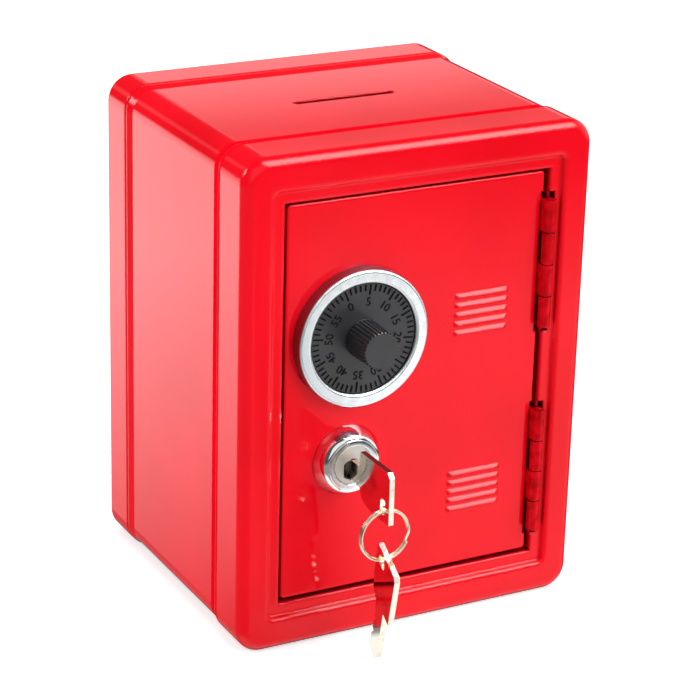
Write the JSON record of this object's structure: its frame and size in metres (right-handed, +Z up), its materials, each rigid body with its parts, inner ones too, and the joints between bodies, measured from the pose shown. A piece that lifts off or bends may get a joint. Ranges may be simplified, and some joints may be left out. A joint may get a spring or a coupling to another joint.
{
  "type": "toy safe coin bank",
  "caption": "Toy safe money bank in red enamelled sheet steel with a coin slot, hinged door, numbered dial, cam lock and keys on a split ring.",
  "frame": {"origin": "on the floor under the cabinet, on the centre line, at the middle of the front frame's lower flange, which the cabinet stands on", "axes": "+X to the right seen from the front, +Y to the back, +Z up; the door faces -Y"},
  "size_m": [0.123, 0.1432, 0.165],
  "materials": {
    "red_enamel": "gloss",
    "chrome_plate": "polished",
    "zinc_plate": "satin",
    "black_plastic": "satin",
    "satin_nickel": "satin",
    "nickel_plate": "bright",
    "brass_wafer": "satin"
  },
  "bodies": {
    "cabinet": {"front_frame": "red_enamel", "body_wrap": "red_enamel", "back_cover": "red_enamel", "upper_hinge_frame_leaf": "red_enamel", "lower_hinge_frame_leaf": "red_enamel", "upper_hinge_pin": "red_enamel", "lower_hinge_pin": "red_enamel"},
    "door": {"door_panel": "red_enamel", "upper_hinge_door_leaf": "red_enamel", "lower_hinge_door_leaf": "red_enamel", "dial_ring": "chrome_plate", "dial_washer": "zinc_plate", "lock_housing": "chrome_plate", "lock_washer": "zinc_plate", "lock_nut": "zinc_plate"},
    "dial_turned": {"dial": "black_plastic", "dial_push_nut": "zinc_plate"},
    "plug_turned": {"lock_plug": "satin_nickel", "lock_wafers": "brass_wafer", "lock_cam": "zinc_plate", "cam_screw": "zinc_plate"},
    "key_held": {"key": "nickel_plate"},
    "ring_hung": {"split_ring": "nickel_plate"},
    "spare_hung": {"spare_key": "nickel_plate"}
  },
  "joints": [
    {"name": "door_swing", "type": "hinge", "parent": "cabinet", "child": "door", "pos_m": [0.0468, -0.00945, 0.0825], "axis": [0, 0, 1], "range_deg": [0, 170]},
    {"name": "dial_spin", "type": "hinge", "parent": "door", "child": "dial_turned", "pos_m": [-0.0202, -0.00735, 0.1031], "axis": [0, -1, 0], "continuous": true},
    {"name": "plug_turn", "type": "hinge", "parent": "door", "child": "plug_turned", "pos_m": [-0.0233, -0.00735, 0.0612], "axis": [0, 1, 0], "range_deg": [0, 90]},
    {"name": "key_pull", "type": "slide", "parent": "plug_turned", "child": "key_held", "axis": [0, -1, 0], "range_m": [0, 0.02]},
    {"name": "ring_swing", "type": "hinge", "parent": "key_held", "child": "ring_hung", "pos_m": [-0.0233, -0.03405, 0.0546], "axis": [-1, 0, 0], "range_deg": [-7, 70]},
    {"name": "spare_key_swing", "type": "hinge", "parent": "ring_hung", "child": "spare_hung", "pos_m": [-0.0233, -0.03405, 0.0379], "axis": [-1, 0, 0], "range_deg": [-9, 50]}
  ]
}
